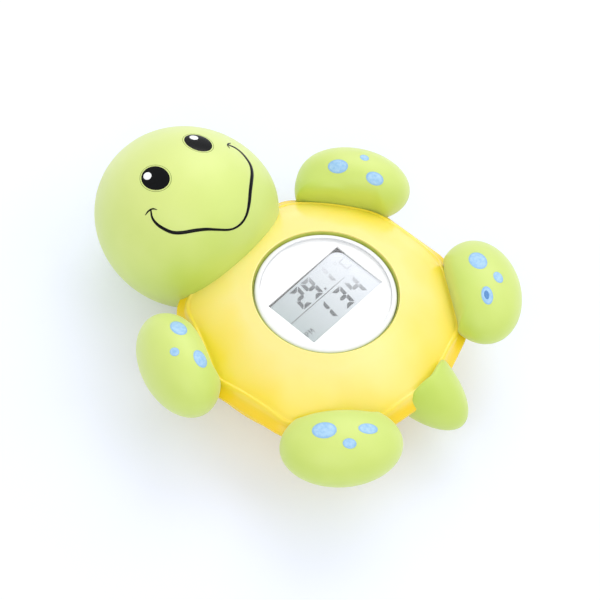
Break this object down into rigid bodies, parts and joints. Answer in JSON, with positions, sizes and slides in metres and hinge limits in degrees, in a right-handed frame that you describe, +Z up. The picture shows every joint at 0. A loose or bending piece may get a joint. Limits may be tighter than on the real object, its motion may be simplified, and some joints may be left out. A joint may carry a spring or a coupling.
{
  "type": "floating pool thermometer",
  "caption": "Floating turtle-shaped bath and pool thermometer: glossy domed shell with a round digital display, soft round head, flippers and tail, turn-off battery cover below.",
  "frame": {"origin": "centre of the ring that it rests on, on the resting surface, below the centre of the display", "axes": "+X towards the head, +Y towards the turtle's left, +Z up out of the display"},
  "size_m": [0.1168, 0.0968, 0.0468],
  "materials": {
    "shell_yellow": "gloss",
    "vinyl_green": "satin",
    "cradle_green": "satin",
    "module_plastic": "satin",
    "lens_clear": "polished",
    "dial_print": "matte",
    "lcd_grey": "polished",
    "board_green": "satin",
    "button_black": "satin",
    "seal_rubber": "matte",
    "zebra_rubber": "matte",
    "steel": "brushed",
    "spring_brass": "polished",
    "chip_black": "matte"
  },
  "bodies": {
    "turtle": {"top_shell": "shell_yellow", "bottom_shell": "shell_yellow", "head": "vinyl_green", "front_left_flipper": "vinyl_green", "front_right_flipper": "vinyl_green", "back_left_flipper": "vinyl_green", "back_right_flipper": "vinyl_green", "tail": "vinyl_green", "shell_seal": "seal_rubber", "display_cradle": "cradle_green", "module_housing": "module_plastic", "display_lens": "lens_clear", "dial_plate": "dial_print", "lcd_glass": "lcd_grey", "lcd_holder": "chip_black", "contact_strips": "zebra_rubber", "circuit_board": "board_green", "board_screws": "steel", "shell_screws": "steel", "switch_cases": "steel", "button_seals": "seal_rubber", "button_cells": "steel", "probe_cap": "steel", "thermistor": "chip_black", "controller_chip": "chip_black", "capacitors": "chip_black", "quartz_crystal": "steel", "cell_top_contact": "spring_brass"},
    "set_button": {"set_button": "button_black", "set_switch_stem": "button_black"},
    "mode_button": {"mode_button": "button_black", "mode_switch_stem": "button_black"},
    "battery_cover": {"battery_cover": "module_plastic", "cover_seal": "seal_rubber", "cover_contact": "spring_brass"}
  },
  "joints": [
    {"name": "set_button_press", "type": "slide", "parent": "turtle", "child": "set_button", "axis": [0, 0, 1], "range_m": [0, 0.0005], "stiffness_N_per_m": 400, "springref_m": -0.0005},
    {"name": "mode_button_press", "type": "slide", "parent": "turtle", "child": "mode_button", "axis": [0, 0, 1], "range_m": [0, 0.0005], "stiffness_N_per_m": 400, "springref_m": -0.0005},
    {"name": "battery_cover_turn", "type": "hinge", "parent": "turtle", "child": "battery_cover", "pos_m": [0, 0, 0], "axis": [0, 0, 1], "range_deg": [0, 90]}
  ]
}
